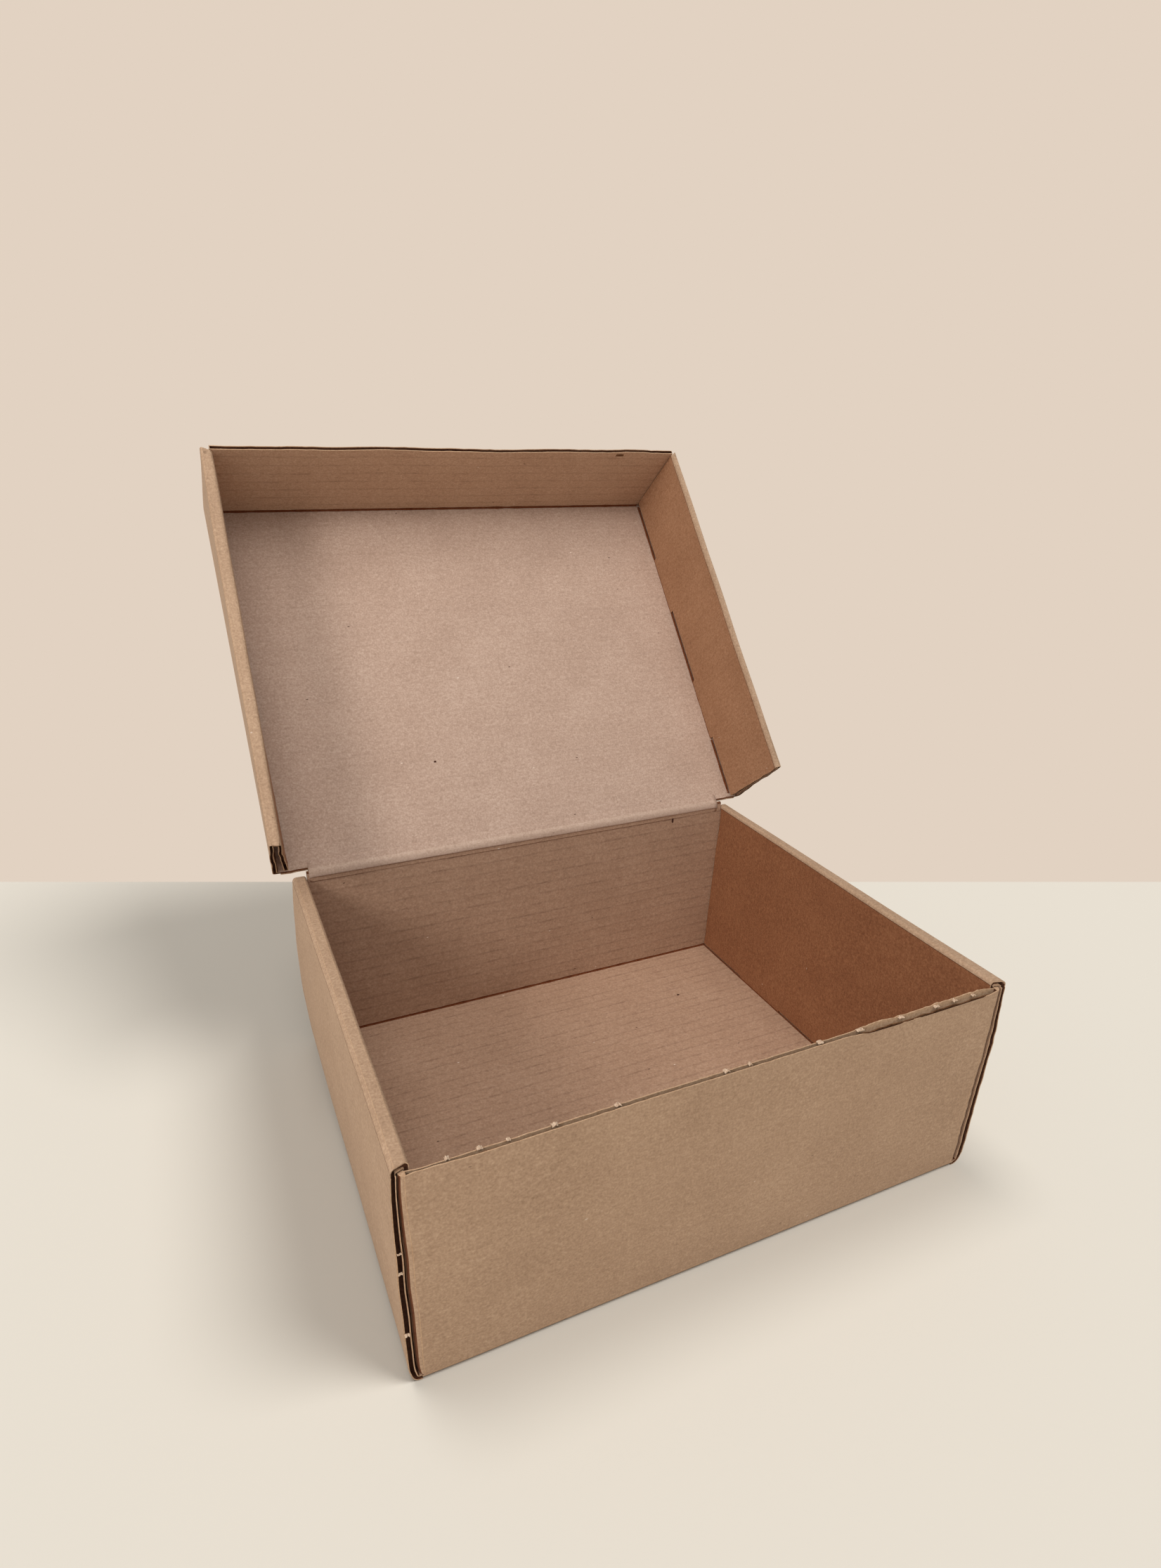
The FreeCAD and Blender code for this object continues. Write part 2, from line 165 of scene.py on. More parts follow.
def lamp(name, place, target, size, power):
    """A rectangular light that faces the target. Its size is in metres and its power in watts."""
    bpy.ops.object.light_add(type="AREA", location=place)
    made = bpy.context.object
    made.name = name
    made.data.shape = "RECTANGLE"
    made.data.size, made.data.size_y = size
    made.data.energy = power
    made.rotation_euler = (Vector(target) - Vector(place)).to_track_quat("-Z", "Y").to_euler()
    return made


window = lamp("window", (-1.35, -0.6, 1.05), (0, 0.05, 0.1), (0.5, 0.5), 13.5)
overhead = lamp("overhead", (-0.2, -0.6, 2.1), (0, 0.1, 0.1), (1.6, 1.6), 23.5)

# The shadows on the floor are soft: a long one to the left, from a light at the right, and a
# short one under the front edge. Two suns that reach only the floor give them.
floor_only = bpy.data.collections.new("floor_only")
floor_only.objects.link(floor)
not_floor = bpy.data.collections.new("not_floor")
not_floor.objects.link(floor)
not_floor.collection_objects[0].light_linking.link_state = "EXCLUDE"
for box_light in (window, overhead):
    box_light.light_linking.receiver_collection = not_floor
for name, towards, energy, softness in (("side_sun", (0.52, -0.35, 1.0), 2.3, 26),
                                        ("high_sun", (-0.14, 0.22, 0.965), 1.2, 20)):
    bpy.ops.object.light_add(type="SUN", rotation=Vector(towards).to_track_quat("Z", "Y").to_euler())
    sun = bpy.context.object
    sun.name = name
    sun.data.energy = energy
    sun.data.angle = math.radians(softness)
    sun.light_linking.receiver_collection = floor_only

# The tray is one folded sheet of B flute board: floor, front wall, back wall up to the
# crease, and side walls that are rolled over the corner flaps, with tabs in floor slots.
# It is a refined copy of the frame's tray, bowed and splayed as the folded board is.
mm = 0.001
board_thickness = 2.3
flute_pitch = 6.5
tray_height = 102.0
tray_inner_face, tray_stack = 122.8, 7.7


def select_only(target):
    """Selects one object and makes it the active one."""
    bpy.ops.object.select_all(action="DESELECT")
    target.select_set(True)
    bpy.context.view_layer.objects.active = target


def refined_copy(source, name, cuts):
    """A merged copy of a frame node, cut into a grid by (point, normal) planes so that it can bend."""
    made = bpy.data.objects.new(name, source.data.copy())
    bpy.context.scene.collection.objects.link(made)
    made.data.materials.clear()
    select_only(made)
    bpy.ops.object.mode_set(mode="EDIT")
    bpy.ops.mesh.select_all(action="SELECT")
    bpy.ops.mesh.remove_doubles(threshold=0.000005)
    bpy.ops.mesh.dissolve_limited(angle_limit=math.radians(0.2))
    for point, normal in cuts:
        bpy.ops.mesh.select_all(action="SELECT")
        bpy.ops.mesh.bisect(plane_co=point, plane_no=normal)
    bpy.ops.object.mode_set(mode="OBJECT")
    return made


def grid_cuts(origin, axes):
    """Cutting planes at every place in millimetres that each (direction, places) asks for."""
    return [(origin + direction * at * mm, direction) for direction, places in axes for at in places]


def vertex_array(mesh):
    """The places of a mesh's vertices, one row each."""
    flat_list = np.empty(len(mesh.vertices) * 3, np.float32)
    mesh.vertices.foreach_get("co", flat_list)
    return flat_list.reshape(-1, 3).astype(float)


def place_vertices(mesh, points):
    """Puts a mesh's vertices at the rows of points."""
    mesh.vertices.foreach_set("co", points.astype(np.float32).ravel())
    mesh.update()


tray_grid = grid_cuts(Vector((0, 0, 0)), [
    (Vector((1, 0, 0)), [*range(-120, 121, 8), -121.6, 121.6]),
    (Vector((0, 1, 0)), [*range(-96, 97, 8), -101, 101, -100, 100]),
    (Vector((0, 0, 1)), [3.8, 6, *range(10, 98, 8), 95, 98]),
])
tray_board = refined_copy(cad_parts["tray"], "tray_board", tray_grid)


def cut_finely(target, low, high, direction, places):
    """Cuts the faces whose middle is between two corners, in millimetres, at close places."""
    mesh = bmesh.new()
    mesh.from_mesh(target.data)
    low, high = Vector(low) * mm, Vector(high) * mm
    faces = [face for face in mesh.faces
             if all(low[i] <= face.calc_center_median()[i] <= high[i] for i in range(3))]
    for at in places:
        around = {edge for face in faces for edge in face.edges}
        corners = {corner for face in faces for corner in face.verts}
        done = bmesh.ops.bisect_plane(mesh, geom=[*faces, *around, *corners], dist=1e-7,
                                      plane_co=direction * at * mm, plane_no=direction)
        faces = [part for part in done["geom"] if isinstance(part, bmesh.types.BMFace)]
    mesh.to_mesh(target.data)
    mesh.free()


# the front rim is cut every 1.6 mm and the walls' front ends every 3.1 mm, so that they can fray
cut_finely(tray_board, (-123, -105, 94), (123, -101.9, 100), Vector((1, 0, 0)), np.arange(-122, 122.1, 1.6))
for low_x, high_x in ((-131, -122), (122, 131)):
    cut_finely(tray_board, (low_x, -105, 1), (high_x, -101, 102), Vector((0, 0, 1)), np.arange(4, 101, 3.1))

# Facing papers: a brown kraft liner outside, which also shows on the rolled-over walls, and
# a greyer recycled liner inside. Both are matt, speckled with fibres, and show the flutes.


def facing_paper(name, colours, line_depth, fleck_depth, shine=0.25):
    """Board facing. colours are its dark, middle and light tone. The depths say, from 0 to 1, how
    strongly the flute lines and the flecks show."""
    made, tree = bare_material(name)
    place = node(tree, "ShaderNodeTexCoord").outputs["Object"]
    sheet_place = node(tree, "ShaderNodeUVMap", {"uv_map": "sheet"}).outputs["UV"]
    # clouds of tone about 40 mm across, from the pulp
    clouds = node(tree, "ShaderNodeTexNoise", Vector=place, Scale=26.0, Detail=9.0, Roughness=0.74)
    # fibres and grit about 0.8 mm across, drawn coarser than real so that they show
    grit = node(tree, "ShaderNodeTexNoise", Vector=place, Scale=1100.0, Detail=2.0, Roughness=0.6)
    grain_place = node(tree, "ShaderNodeMapping", Vector=sheet_place, Scale=(0.6, 1.0, 1.0))
    grain = node(tree, "ShaderNodeTexNoise", Vector=grain_place.outputs[0], Scale=620.0, Detail=3.0)
    # their shares in the tone, which stays about 0.5
    tone = calc(tree, "MULTIPLY_ADD", clouds.outputs["Fac"], 0.32, -0.095)
    tone = calc(tree, "MULTIPLY_ADD", grit.outputs["Fac"], 0.6, tone)
    tone = calc(tree, "MULTIPLY_ADD", grain.outputs["Fac"], 0.3, tone)
    dark, middle, light = map(linear, colours)
    paper = ramp(tree, tone, [(0.25, dark), (0.5, middle), (0.75, light)])
    # along each flute a thin darker line, broken into dashes
    split = node(tree, "ShaderNodeSeparateXYZ", Vector=sheet_place)
    wander = node(tree, "ShaderNodeTexNoise", Vector=place, Scale=14.0, Detail=1.0)
    phase_per_metre = 2 * math.pi / (flute_pitch * mm)
    across_flutes = calc(tree, "MULTIPLY_ADD", wander.outputs["Fac"], 0.0012, split.outputs["Y"])
    wave = calc(tree, "SINE", calc(tree, "MULTIPLY", across_flutes, phase_per_metre))
    line = node(tree, "ShaderNodeMapRange", Value=wave, From_Min=0.7, From_Max=1.0)
    dash_place = node(tree, "ShaderNodeMapping", Vector=sheet_place, Scale=(1.0, 5.0, 1.0))
    dashes = node(tree, "ShaderNodeTexNoise", Vector=dash_place.outputs[0],
                  Scale=60.0, Detail=5.0, Roughness=0.7)
    broken = node(tree, "ShaderNodeMapRange", Value=dashes.outputs["Fac"],
                  From_Min=0.42, From_Max=0.7, To_Min=0.1)
    line_mask = calc(tree, "MULTIPLY", line.outputs[0], broken.outputs[0])
    lined = node(tree, "ShaderNodeMix", {"data_type": "RGBA", "blend_type": "MULTIPLY"},
                 i0=calc(tree, "MULTIPLY", line_mask, line_depth), i6=paper, i7=linear("#6E4A36"))
    # stray dark and pale flecks of recycled fibre, a few to the palm
    fleck_place = node(tree, "ShaderNodeMapping", Vector=sheet_place, Scale=(0.45, 1.0, 1.0))
    cells = node(tree, "ShaderNodeTexVoronoi", Vector=fleck_place.outputs[0], Scale=150.0, Randomness=1.0)
    draw = node(tree, "ShaderNodeSeparateColor", Color=cells.outputs["Color"])
    near = calc(tree, "LESS_THAN", cells.outputs["Distance"], 0.045)
    picked = calc(tree, "GREATER_THAN", draw.outputs[0], 0.64)
    fleck = calc(tree, "MULTIPLY", calc(tree, "MULTIPLY", near, picked), fleck_depth)
    fleck_tone = ramp(tree, draw.outputs[1], [(0.0, linear("#4A2E20")), (0.55, linear("#5A3A28")),
                                              (0.7, linear("#E4D2C0"))], "CONSTANT")
    finish = node(tree, "ShaderNodeMix", {"data_type": "RGBA"}, i0=fleck,
                  i6=lined.outputs[2], i7=fleck_tone)
    height = calc(tree, "MULTIPLY_ADD", wave, 0.5, grit.outputs["Fac"])
    relief = node(tree, "ShaderNodeBump", Height=height, Strength=0.35, Distance=0.0001)
    board = node(tree, "ShaderNodeBsdfPrincipled", Base_Color=finish.outputs[2], Roughness=0.8,
                 Normal=relief.outputs[0])
    board.inputs["Specular IOR Level"].default_value = shine
    node(tree, "ShaderNodeOutputMaterial", Surface=board.outputs[0])
    return made


kraft_liner = facing_paper("kraft_liner", ("#8D6E53", "#A9886B", "#C1A183"), 0.06, 0.5, shine=0.6)
inner_liner = facing_paper("recycled_liner", ("#9A7E6B", "#B59885", "#CDB29F"), 0.09, 0.9)
# the tray's liner is the recycled liner painted darker and warmer, as painted shade and warm bounce light
# inside the tray
tray_liner_painted_shade = facing_paper("tray_liner_painted_shade", ("#92715B", "#AD8A70", "#C3A187"), 0.36, 0.9)
# the kraft on the inner side walls is the kraft liner painted darker and redder, as painted shade and warm
# bounce light, darker in the tray than in the lid
tray_kraft_painted_shade = facing_paper("tray_inner_wall_painted_shade", ("#6E4228", "#8C5A3B", "#A8744F"), 0.06, 0.5)
# the flap's liner is the recycled liner painted warmer, as painted bounce light
flap_liner_painted_light = facing_paper("flap_liner_painted_light", ("#9E7C65", "#BA967B", "#CEAC92"), 0.3, 0.9)
lid_kraft_painted_shade = facing_paper("lid_inner_wall_painted_shade", ("#82593D", "#9C7152", "#B48868"), 0.06, 0.5)


def plain_paper(name, low, high, scale):
    """Torn or shaded paper that shows only as a thin edge."""
    made, tree = bare_material(name)
    place = node(tree, "ShaderNodeTexCoord").outputs["Object"]
    pulp = node(tree, "ShaderNodeTexNoise", Vector=place, Scale=scale, Detail=4.0, Roughness=0.7)
    tone = ramp(tree, pulp.outputs["Fac"], [(0.3, linear(low)), (0.7, linear(high))])
    relief = node(tree, "ShaderNodeBump", Height=pulp.outputs["Fac"], Strength=0.6, Distance=0.0002)
    board = node(tree, "ShaderNodeBsdfPrincipled", Base_Color=tone, Roughness=0.92, Normal=relief.outputs[0])
    board.inputs["Specular IOR Level"].default_value = 0.2
    node(tree, "ShaderNodeOutputMaterial", Surface=board.outputs[0])
    return made


cut_edge = plain_paper("cut_board_edge", "#A98464", "#C9A888", 900.0)
# the open flute edge is painted dark brown: the medium's own brown, with painted shade in its hollows
open_flute_painted_shade = plain_paper("open_flute_painted_shade", "#3C2115", "#623C27", 700.0)
# the inside of a fold is painted dark brown, a painted shade
fold_painted_shade = plain_paper("fold_painted_shade", "#5A3320", "#70452C", 500.0)

# The flat faces of the folded tray by the paper they show, as (axis, place in mm). Deep is the
# kraft of the inner walls, in painted shade; cut and flute are the board's edges, flute with painted
# shade in its hollows, and fold is the inside of a fold, also in painted shade.
tray_planes = {
    "kraft": [("z", 0.0), ("y", -104.5), ("y", 104.5), ("x", 130.5), ("z", 102.0), ("x", 127.5)],
    "deep": [("x", tray_inner_face)],
    "liner": [("z", 2.3), ("y", -102.2), ("y", 102.2), ("x", 128.2), ("z", 99.7), ("x", 125.1), ("x", 125.2)],
}
paper_order = ["kraft", "deep", "liner", "cut", "flute", "fold"]
tray_papers = [kraft_liner, tray_kraft_painted_shade, tray_liner_painted_shade, cut_edge, open_flute_painted_shade, fold_painted_shade]
lid_papers = [kraft_liner, lid_kraft_painted_shade, inner_liner, cut_edge, open_flute_painted_shade, fold_painted_shade]


def on_plane(centre, normal, planes):
    """Whether a face lies on one of the planes, which are the same on the left and the right."""
    square_on, close = 0.999, 0.03
    for axis, at in planes:
        index = "xyz".index(axis)
        here = abs(centre[0]) if axis == "x" else centre[index]
        if abs(normal[index]) > square_on and abs(here - at) < close:
            return True
    return False


def paper_of_face(centre, normal, planes, ridge_from, ends):
    """Which paper a face of the folded sheet shows. Places are in mm in the sheet's own frame.

    Above ridge_from the rounds belong to the ridge of a wall. ends says where the sheet's cut ends
    begin: the front, the back, the middle between them and the top."""
    for paper, places in planes.items():
        if on_plane(centre, normal, places):
            return paper
    front_end, back_end, middle_y, top_end = ends
    slightly, partly, mostly, squarely = 0.05, 0.3, 0.9, 0.995
    outward = normal[0] * math.copysign(1, centre[0])
    on_round = max(abs(part) for part in normal) < squarely
    if on_round:
        if centre[2] > ridge_from and abs(normal[1]) < partly:
            return "kraft" if normal[2] > 0 else "liner"
        facing_out = outward - normal[2] if abs(outward) > slightly else -normal[2]
        if abs(normal[1]) > slightly:
            endwards = normal[1] * math.copysign(1, centre[1] - middle_y)
            facing_out = endwards + (outward if abs(normal[2]) < slightly else -normal[2])
        return "kraft" if facing_out > 0 else "fold"
    at_back = centre[1] > back_end and normal[1] > mostly
    at_front = centre[1] < front_end and normal[1] < -mostly
    at_top = centre[2] > top_end and normal[2] > mostly
    return "cut" if at_back or at_front or at_top or normal[2] < -mostly else "flute"


def dress_faces(target, papers, to_sheet, planes, ridge_from, ends):
    """Gives each face its paper and its place on the sheet, across and along the flutes."""
    mesh = target.data
    for material in papers:
        mesh.materials.append(material)
    sheet_map = mesh.uv_layers.new(name="sheet")
    local = [to_sheet @ vertex.co / mm for vertex in mesh.vertices]
    turn = to_sheet.to_3x3()
    for face in mesh.polygons:
        centre = to_sheet @ face.center / mm
        normal = turn @ face.normal
        face.material_index = paper_order.index(paper_of_face(centre, normal, planes, ridge_from, ends))
        end_wall, side_wall = abs(normal[1]) > 0.7, abs(normal[0]) > 0.7
        for corner in face.loop_indices:
            at = local[mesh.loops[corner].vertex_index]
            u, v = (at[0], at[2]) if end_wall else ((at[2], at[1]) if side_wall else (at[0], at[1]))
            sheet_map.data[corner].uv = (u * mm, v * mm)


front_rim = 98.9
dress_faces(tray_board, tray_papers, Matrix.Identity(4), tray_planes, 90.0, (-101.5, 101.5, 0.0, front_rim))
# the sides of the front wall's folds face into the dark gap behind the rolled-over walls and get the fold's
# painted shade
fold_shade_index = paper_order.index("fold")
for face in tray_board.data.polygons:
    centre = face.center / mm
    if 126.6 < abs(centre.x) < 128 and centre.y < -102.9 and abs(face.normal.x) > 0.45 and centre.z > 2.4:
        face.material_index = fold_shade_index


def smooth(low, high, value):
    """0 below low, 1 above high and a soft step between them."""
    share = np.clip((value - low) / (high - low), 0, 1)
    return share * share * (3 - 2 * share)


def ripple(points, scale, amount, seed):
    """Slow waviness, in millimetres, of board that has been folded by hand."""
    shift = Vector((seed * 17.3, seed * 5.1, seed * 9.7))
    return np.array([noise.noise(Vector(p) / scale + shift) for p in points]) * amount


# all in mm: the side walls lean and bow outwards, each in its own way, and the front wall is a
# little hollow; stack runs from 0 at a side wall's inner face to 1 at its outer one
points = vertex_array(tray_board.data) / mm
x, y, z = points.T
side = np.sign(x)
stack = np.clip((np.abs(x) - tray_inner_face) / tray_stack, 0, 1)
in_wall = smooth(118, 122.7, np.abs(x))
height = np.clip(z / tray_height, 0, 1)
from_front = (y + 104) / 208  # 0 at the front, 1 at the back
inner_lean = np.where(x < 0, 1.4 - 0.3 * from_front, 1.0 + 1.7 * from_front)
front_share = smooth(60, -104, y)
back_share = smooth(-50, 60, y)
outer_bulge = np.where(x < 0, (front_share + 0.3 + 2.1 * back_share) * np.sin(np.pi * height) ** 0.8,
                       (2.4 * front_share + 0.3) * smooth(tray_height, 70, z))
outer_foot = -1.1 * smooth(8, 0, z)
splay = (1 - stack) * inner_lean * smooth(0, tray_height, z) + stack * (outer_bulge + outer_foot)
new_x = x + side * splay * in_wall
front = smooth(-98, -101, y)
bulge = -1.1 * np.exp(-((x + 105) / 22) ** 2) * np.exp(-((z - 52) / 40) ** 2)
wavy = ripple(points, 60, 0.5, 1) * smooth(0, 20, z)
new_y = y + front * (bulge + wavy) + smooth(98, 101, y) * wavy * 0.6 * smooth(100, 90, z)
new_x += side * in_wall * ripple(points, 55, 0.45, 2) * smooth(0, 20, z)

# the front edge was torn off its waste strip: ragged liners, pulled apart on the right
in_front = (y < -102.1) & (np.abs(x) < 124)
rim = in_front & (z > front_rim)
outer_liner, inner_liner_rim = rim & (y < -104.05), rim & (y > -102.65)
pulled = smooth(46, 60, x) * smooth(126, 116, x)
fray = ripple(points, 3.1, 0.45, 7)
slow_fray = ripple(points, 14, 0.6, 8)
z = z + np.where(rim, fray * 0.5, 0)
sharp_fray = ripple(points, 1.9, 1.0, 13)
z = z - np.where(outer_liner, pulled * (1.1 + 1.6 * slow_fray + 1.2 * np.abs(sharp_fray)), 0)
z = z + np.where(inner_liner_rim, pulled * (0.7 + slow_fray + 0.6 * sharp_fray), 0)
upper = smooth(95.5, 99, z)
new_y += np.where(in_front & (y > -102.65), upper * pulled * 0.5, 0)
new_y -= np.where(in_front & (y < -104.05), upper * pulled * 0.25, 0)
pinch = smooth(-100, -118, x) * upper
new_y += np.where(in_front & (y < -103.3), 1, -1) * in_front * pinch * 0.45
end_rim = (np.abs(x) > 122.5) & (np.abs(y) > 101.5)
new_y += np.where(end_rim, ripple(points, 4, 0.3, 9), 0)
new_x += np.where(end_rim, ripple(points, 14, 0.3, 10), 0) * smooth(1, 12, z)
place_vertices(tray_board.data, np.stack([new_x, new_y, z], 1) * mm)


def finish_board(target, body, replaced):
    """Shades a dressed board and hands it over in place of the frame's node."""
    select_only(target)
    bpy.ops.object.shade_smooth_by_angle(angle=math.radians(32))
    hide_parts(replaced)
    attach(target, body)


finish_board(tray_board, "tray", "tray")

# The lid is the rest of the same sheet: panel, front flap with a raised middle edge, and two
# rolled-over side walls with tabs in slots. It leans back 40.5 degrees about the crease.
lean = math.radians(40.5)
hinge = Vector((0, 103.35, 103.55)) * mm
lid_along = Vector((0, math.sin(lean), math.cos(lean)))
lid_up = Vector((0, -math.cos(lean), math.sin(lean)))
# the lid's own frame runs across, along and up from the panel, whose outer face is at height 0
lid_axes = Matrix((Vector((1, 0, 0)), lid_along, lid_up)).transposed().to_4x4()
lid_origin = hinge - lid_up * board_thickness / 2 * mm
lid_to_box = Matrix.Translation(lid_origin) @ lid_axes
box_to_lid = lid_to_box.inverted()
lid_length, lid_wall_height = 215, 51.5
lid_inner_face, lid_stack = 132.0, 7.7
tab_spans = [(42.7, 81.1), (131.6, 169.8)]

lid_grid = grid_cuts(lid_origin, [
    (Vector((1, 0, 0)), [*range(-128, 129, 8), -131, 131]),
    (lid_along, [4, *range(10, 210, 8), 209, 211]),
    (lid_up, [3.8, 6, *range(10, 46, 7), 48.4]),
])
lid_board = refined_copy(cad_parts["lid"], "lid_board", lid_grid)
lid_board.data.transform(box_to_lid)
cut_finely(lid_board, (-134, 212, 46), (134, 216, 52), Vector((1, 0, 0)), np.arange(-130, 130.1, 3.1))
for hand in (-1, 1):
    low_x, high_x = sorted((hand * 131, hand * 140))
    cut_finely(lid_board, (low_x, 2, 1), (high_x, 6, 52), Vector((0, 0, 1)), np.arange(4, 51, 3.1))
lid_board.data.transform(lid_to_box)
lid_planes = {
    "kraft": [("z", 0.0), ("y", 214.95), ("x", 139.7), ("x", 136.7)],
    "deep": [("x", lid_inner_face)],
    "liner": [("z", 2.3), ("y", 212.65), ("x", 137.4), ("z", 49.2), ("x", 134.3), ("x", 134.4)],
}
dress_faces(lid_board, lid_papers, box_to_lid, lid_planes, 40.0, (4.0, 211.9, 110.0, 48.7))
# the tops of the lid's side walls are folds, not cut edges
ridge_index, cut_index = paper_order.index("kraft"), paper_order.index("cut")
for face in lid_board.data.polygons:
    centre = box_to_lid @ face.center / mm
    if face.material_index == cut_index and abs(centre[0]) > 131.9 and centre[1] < 213 and centre[2] > 51:
        face.material_index = ridge_index

# the flap turns away from the light; its liner is a warmer copy of the panel's, painted with the warm bounce
# light it gets
liner_index = paper_order.index("liner")
lid_board.data.materials.append(flap_liner_painted_light)
for face in lid_board.data.polygons:
    if face.material_index == liner_index and (box_to_lid @ face.center).y > 212.4 * mm:
        face.material_index = len(lid_papers)

# x is across, v along and w up from the panel, in mm: the walls flare towards the crease, the flap
# waves, and between the tabs the inner walls' lower edges stand a little off the panel
local = np.array([box_to_lid @ vertex.co for vertex in lid_board.data.vertices]) / mm
x, v, w = local.T
side = np.sign(x)
stack = np.clip((np.abs(x) - lid_inner_face) / lid_stack, 0, 1)
in_wall = smooth(127, 131.9, np.abs(x))
near = 1 - np.clip(v / lid_length, 0, 1)
inner_top = np.where(x < 0, 1.2 + 3.2 * near ** 1.5, 2.5 + 0.8 * near)
outer_top = np.where(x < 0, -0.9 + 3.0 * near ** 0.8, -1.7 + 0.8 * near)
splay = ((1 - stack) * inner_top + stack * outer_top) * smooth(0, lid_wall_height, w)
new_x = x + side * in_wall * (splay + ripple(local, 50, 0.5, 3) * smooth(2, 20, w))
flap = smooth(205, 212, v)
new_v = v + flap * (ripple(local, 45, 0.9, 4) + 0.4) * smooth(5, 50, w)
new_w = w + flap * (ripple(local, 30, 0.8, 5) + ripple(local, 5, 0.3, 6)) * smooth(44, 51, w)
off_tabs = ~np.any([(v >= low) & (v <= high) for low, high in tab_spans], axis=0)
on_edge = off_tabs & (np.abs(x) > 131.9) & (np.abs(x) < 134.5) & (w > 1.9)
new_w += np.where(on_edge, 1.5 * smooth(8, 2.6, w), 0)
hinge_end = (v < 5.5) & (np.abs(x) > 131)
new_v += np.where(hinge_end, ripple(local, 6, 0.7, 11), 0)
new_x += np.where(hinge_end, ripple(local, 8, 0.5, 12), 0) * smooth(1, 10, w)
moved = np.stack([new_x, new_v, new_w], 1) * mm
place_vertices(lid_board.data, np.array([lid_to_box @ Vector(p) for p in moved]))
finish_board(lid_board, "lid", "lid")

# The crease between the back wall and the lid is the same sheet, crushed flat by the score.
# Its two facings bend round the hinge and turn with the lid; on the inner one's bend the liner is painted
# paler, a painted highlight.


def thicken(strip, thickness, offset=0):
    """Gives the active strip a thickness in mm. An offset of -1 puts all of it behind the surface."""
    paper = strip.modifiers.new("paper", "SOLIDIFY")
    paper.thickness = thickness * mm
    paper.offset = offset
    bpy.ops.object.modifier_apply(modifier="paper")


def crease_facing(name, profile, half_width, outwards, papers):
    """A strip of facing along the crease. profile is its outer surface, (y, z) in mm, rising.

    papers is a list of (height in mm up to which it reaches, material)."""
    rows = len(profile) - 1
    bpy.ops.mesh.primitive_grid_add(x_subdivisions=60, y_subdivisions=rows, size=1, calc_uvs=False)
    strip = bpy.context.object
    strip.name = name
    mesh = strip.data
    for vertex in mesh.vertices:
        row = round((vertex.co.y + 0.5) * rows)
        along = vertex.co.x * 2 * half_width
        swell = math.sin(math.pi * row / rows)
        wave = 0.16 * swell * noise.noise(Vector((along / 13, row * 0.35, 3.0)))
        vertex.co = Vector((along, profile[row][0] + outwards * wave, profile[row][1])) * mm
    mesh.update()
    if mesh.polygons[0].normal.y * outwards < 0:
        mesh.flip_normals()
    select_only(strip)
    soften = strip.modifiers.new("soften", "SUBSURF")
    soften.levels = soften.render_levels = 1
    bpy.ops.object.modifier_apply(modifier="soften")
    thicken(strip, 0.3, offset=-1)
    sheet_map = mesh.uv_layers.new(name="sheet")
    for loop in mesh.loops:
        at = mesh.vertices[loop.vertex_index].co
        sheet_map.data[loop.index].uv = (at.x, at.z)
    for _, material in papers:
        mesh.materials.append(material)
    for face in mesh.polygons:
        face.material_index = next(index for index, (top, _) in enumerate(papers)
                                   if face.center.z < top * mm)
    bpy.ops.object.shade_smooth()
    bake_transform(strip)


crease_half_width = 122.5
# the inner facing's bend is a paler copy of the recycled liner, a painted highlight
crease_liner_painted_highlight = facing_paper("crease_liner_painted_highlight", ("#A98D7A", "#BEA28E", "#CFB5A2"), 0.03, 0.4)
crease_facing("crease_inside", [
    (102.19, 98.6), (102.16, 99.8), (102.14, 100.8), (102.05, 101.25), (101.74, 101.5), (101.7, 102.1),
    (101.84, 103.2), (102.12, 104.15), (102.5, 104.9), (103.2, 105.6), (103.96, 106.38), (104.93, 107.46),
    (106.33, 108.88)
], crease_half_width, -1, [(101.3, tray_liner_painted_shade), (106.2, crease_liner_painted_highlight), (200, inner_liner)])
crease_facing("crease_outside", [
    (104.51, 98.2), (104.56, 99.6), (104.66, 101.2), (104.8, 102.3), (105.15, 103.3), (105.7, 104.2),
    (106.37, 105.17), (107.2, 106.17), (108.47, 107.71)
], crease_half_width, 1, [(200, kraft_liner)])

# Along the inner fold of the back wall and of the lid's flap the facing is scored into the
# board, and the rolled-over walls stand on the board with a fine gap under them. Both lie in
# shade, painted as a narrow, dark, slightly wavering strip in the corner.
corner_shadow_paper = plain_paper("painted_corner_shadow", "#5A2A14", "#7A4526", 500.0)


def corner_shadow_line(name, half_width, corner, body, place, seed, wide=0.8):
    """A narrow strip of painted shade in an inner corner, at corner = (along the sheet, height) in mm.

    Its rows run from the panel over the corner to the wall and stand a hair off both."""
    bpy.ops.mesh.primitive_grid_add(x_subdivisions=90, y_subdivisions=2, size=1)
    strip = bpy.context.object
    strip.name = name
    for vertex in strip.data.vertices:
        along = vertex.co.x * 2 * half_width
        width = wide + 0.4 * wide * noise.noise(Vector((along / 7, seed, 1.0)))
        row = round((vertex.co.y + 0.5) * 2)
        on_panel, on_wall = ((width, -0.07), (0.1, -0.25), (0.06, -0.2 - width))[row]
        vertex.co = place @ (Vector((along, corner[0] - on_panel, corner[1] - on_wall)) * mm)
    strip.data.materials.append(corner_shadow_paper)
    thicken(strip, 0.12)
    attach(strip, body)


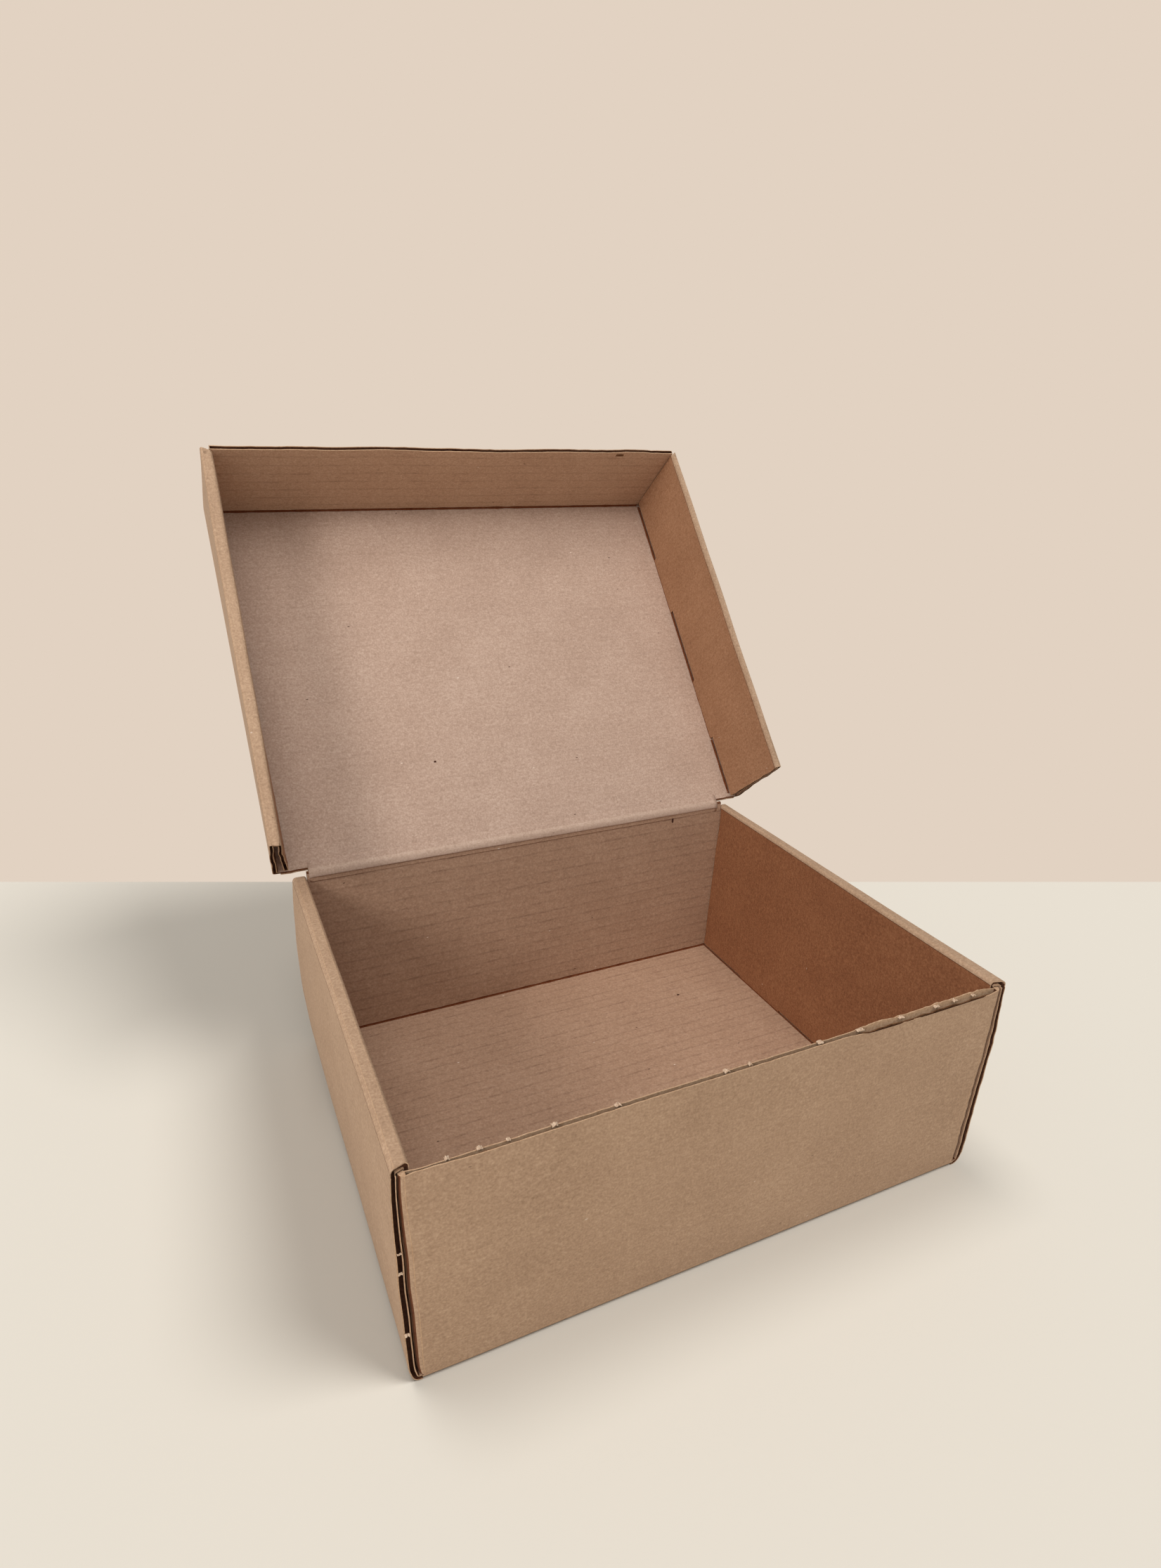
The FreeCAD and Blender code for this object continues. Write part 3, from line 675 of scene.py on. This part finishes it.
corner_shadow_line("back_crease_shadow", 123.0, (102.2, board_thickness), "tray", Matrix.Identity(4), 4.0)
corner_shadow_line("flap_crease_shadow", 131.5, (212.65, board_thickness), "lid", lid_to_box, 5.0)
lid_middle = Matrix.Translation((0, 108 * mm, 0))
for side_name, quarter in (("left", 1), ("right", -1)):
    turned = Matrix.Rotation(quarter * math.pi / 2, 4, "Z")
    corner_shadow_line(f"tray_{side_name}_gap", 101.5, (tray_inner_face, board_thickness), "tray",
               turned, 6.0 + quarter, 0.4)
    corner_shadow_line(f"lid_{side_name}_gap", 103.0, (lid_inner_face + 0.5, board_thickness), "lid",
               lid_to_box @ lid_middle @ turned, 9.0 + quarter, 0.7)

# The medium, the wavy paper between the facings, shows in the slit along the two edges
# that were cut along a flute: the tray's front edge and the lid flap's raised edge.
medium_paper = plain_paper("fluted_medium", "#55351F", "#7C583B", 800.0)


def medium_strip(name, half_width, line, height, body, place, seed):
    """A thin upright strip that wanders between the two facings along an open edge.

    It stands from 3 mm to about 1.3 mm below the height of the edge."""
    step = 1.5
    steps = int(2 * half_width / step)
    bpy.ops.mesh.primitive_grid_add(x_subdivisions=steps, y_subdivisions=2, size=1)
    strip = bpy.context.object
    strip.name = name
    for vertex in strip.data.vertices:
        along = vertex.co.x * 2 * half_width
        share = vertex.co.y + 0.5
        sway = 0.55 * noise.noise(Vector((along / 11, seed, 0.5)))
        torn = 0.5 * noise.noise(Vector((along / 4, seed, 7.5))) * share
        vertex.co = place @ (Vector((along, line + sway, height - 3.0 + 1.7 * share + torn)) * mm)
    thicken(strip, 0.5)
    strip.data.materials.append(medium_paper)
    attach(strip, body)


medium_strip("front_medium", 122.0, -103.35, 98.8, "tray", Matrix.Identity(4), 1.0)
medium_strip("flap_medium", 130.5, 213.8, 51.3, "lid", lid_to_box, 2.0)

# Where the die left the board uncut, it tore free: pale tufts of paper along the front edge
# and down the ends of the side walls.
torn_paper = plain_paper("torn_paper", "#AE8D70", "#D9C1A9", 1200.0)
random.seed(11)


def torn_tufts(name, places, body):
    """Small ragged bits of paper. Each place is a point in mm, a width, and which way it stands."""
    bits = []
    for point, width, away in places:
        bpy.ops.mesh.primitive_grid_add(x_subdivisions=5, y_subdivisions=3, size=1)
        bit = bpy.context.object
        sideways = away.cross(Vector((0, 1, 0)) if abs(away.y) < 0.5 else Vector((1, 0, 0))).normalized()
        through = away.cross(sideways)
        bit_height, bit_lean = random.uniform(0.6, 1.5), random.uniform(-0.5, 0.5)
        for vertex in bit.data.vertices:
            across_bit, deep = vertex.co.x, vertex.co.y
            tooth = random.uniform(0.1, 1.0) * (1 - abs(across_bit) * 1.3)
            at = Vector(point) + sideways * across_bit * width + through * deep * 1.6
            at += (away + sideways * bit_lean) * tooth * bit_height
            vertex.co = (at + Vector([random.uniform(-0.12, 0.12) for _ in range(3)])) * mm
        bits.append(bit)
    bpy.ops.object.select_all(action="DESELECT")
    for bit in bits:
        bit.select_set(True)
    bpy.context.view_layer.objects.active = bits[0]
    bpy.ops.object.join()
    tufts = bpy.context.object
    tufts.name = name
    thicken(tufts, 0.3)
    tufts.data.materials.append(torn_paper)
    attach(tufts, body)


up = Vector((0, 0, 1))
front_nicks = [(-112.5, 1.6), (-101.7, 2.2), (-91.8, 1.4), (-75.6, 2.4), (-51.9, 2.6), (-7.9, 2.4),
               (2.2, 1.4), (34.2, 2.6), (53.6, 3.4), (74.1, 2.6), (93.0, 3.0), (103.1, 2.4), (113.2, 2.0)]
torn_tufts("front_tufts", [((at, -102.9, 99.1), width * 0.9, up) for at, width in front_nicks], "tray")
forward = Vector((0, -1, 0))
end_nicks = [((-130.6, -103.9, 57.0), 0.8), ((-130.2, -103.9, 66.0), 0.5), ((-130.3, -103.9, 27.0), 0.5)]
torn_tufts("end_tufts", [(point, width, forward) for point, width in end_nicks], "tray")

# Three dark bits of recycled fibre are big enough to be seen one by one: on the back wall,
# the floor and the lid. Each is a thin chip pressed into the facing.
dark_chip = plain_paper("dark_fibre", "#3A2018", "#4C2C20", 900.0)
flat_on_tray = Matrix.Identity(4)
speck_places = [("tray", flat_on_tray, (91.4, 102.16, 97.8), (0.7, 0.12, 1.5)),
                ("tray", flat_on_tray, (77.7, 59.6, 2.3), (0.9, 0.7, 0.12)),
                ("lid", lid_to_box, (-44.8, 50.3, 2.3), (0.8, 0.6, 0.12))]
for index, (body, place, point, size) in enumerate(speck_places):
    bpy.ops.mesh.primitive_uv_sphere_add(segments=10, ring_count=6, radius=1)
    chip = bpy.context.object
    chip.name = f"fibre_chip_{index + 1}"
    for vertex in chip.data.vertices:
        ragged = 1 + 0.35 * noise.noise(vertex.co * 1.7 + Vector((index * 9, 0, 0)))
        shift = Vector([vertex.co[axis] * size[axis] * ragged for axis in range(3)])
        vertex.co = place @ ((Vector(point) + shift) * mm)
    chip.data.materials.append(dark_chip)
    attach(chip, body)
